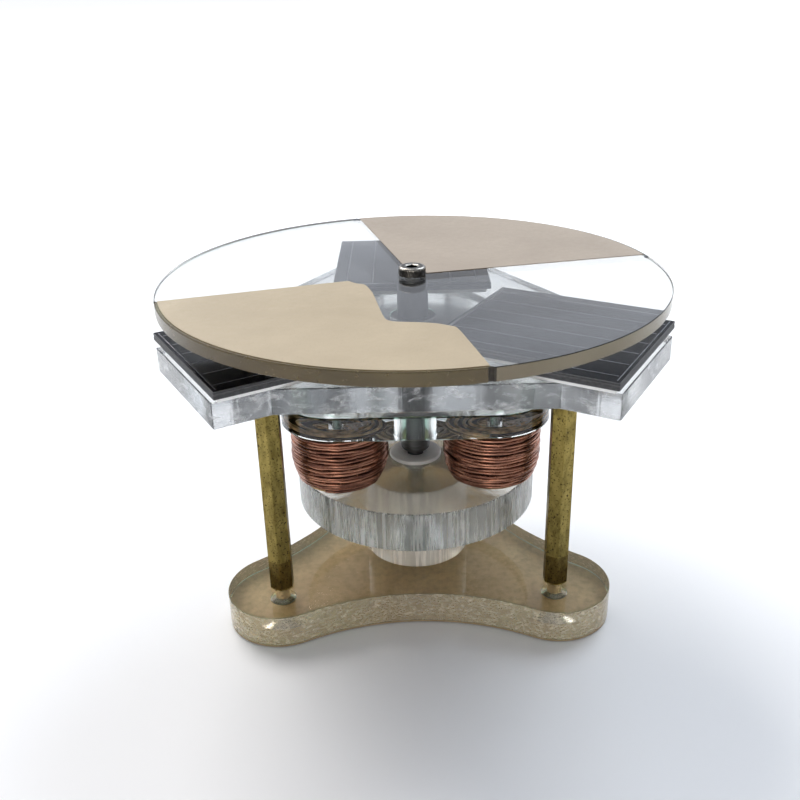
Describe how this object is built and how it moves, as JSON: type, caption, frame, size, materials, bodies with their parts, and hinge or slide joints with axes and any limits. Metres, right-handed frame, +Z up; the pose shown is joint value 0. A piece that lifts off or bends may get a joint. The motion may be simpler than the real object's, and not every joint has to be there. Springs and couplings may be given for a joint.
{
  "type": "demonstration electric motor",
  "caption": "Light-switched demonstration motor: a sector disc turns over solar cells that feed the coils below a magnet rotor, on a clear plate with brass standoffs.",
  "frame": {"origin": "On the table plane under the rotor axis, at the centre of the bounding box's bottom face", "axes": "+Z up along the rotor axis; +Y towards the rear arm, standoff and coil; +X to the right when the front of the base faces the viewer"},
  "size_m": [0.1206, 0.12, 0.0848],
  "materials": {
    "masking_paper": "matte",
    "clear_acrylic": "polished",
    "screw_steel": "satin",
    "dark_steel": "satin",
    "brass": "satin",
    "white_nylon": "satin",
    "black_acetal": "satin",
    "coil_tube": "satin",
    "enamelled_copper": "satin",
    "foam_tape": "matte",
    "solar_cell": "gloss",
    "opaque_film": "satin",
    "shaft_steel": "satin",
    "magnet_nickel": "polished"
  },
  "bodies": {
    "stand": {"base_paper": "masking_paper", "base_plate": "clear_acrylic", "base_screws": "screw_steel", "standoff_left": "brass", "standoff_right": "brass", "standoff_rear": "brass", "boss_spacer": "clear_acrylic", "center_screw": "screw_steel", "stator_disc": "clear_acrylic", "lower_bearing": "white_nylon", "coil_core_left": "coil_tube", "coil_core_right": "coil_tube", "coil_core_rear": "coil_tube", "coil_left": "enamelled_copper", "coil_right": "enamelled_copper", "coil_rear": "enamelled_copper", "core_screws": "screw_steel", "coil_top_plate": "clear_acrylic", "magnet_chamber": "clear_acrylic", "carrier_plate": "clear_acrylic", "upper_bearing": "black_acetal", "carrier_screws": "screw_steel", "foam_pads": "foam_tape", "solar_cell_left": "solar_cell", "solar_cell_right": "solar_cell", "solar_cell_rear": "solar_cell", "cell_leads": "enamelled_copper"},
    "rotor": {"shutter_disc": "clear_acrylic", "shutter_film_front": "opaque_film", "shutter_film_rear": "opaque_film", "hub_screw": "dark_steel", "shaft": "shaft_steel", "rotor_plate": "shaft_steel", "rotor_collar": "brass", "rotor_set_screw": "dark_steel", "rotor_magnets": "magnet_nickel"}
  },
  "joints": [
    {"name": "rotor_spin", "type": "hinge", "parent": "stand", "child": "rotor", "pos_m": [0, 0, 0.04], "axis": [0, 0, 1], "continuous": true}
  ]
}
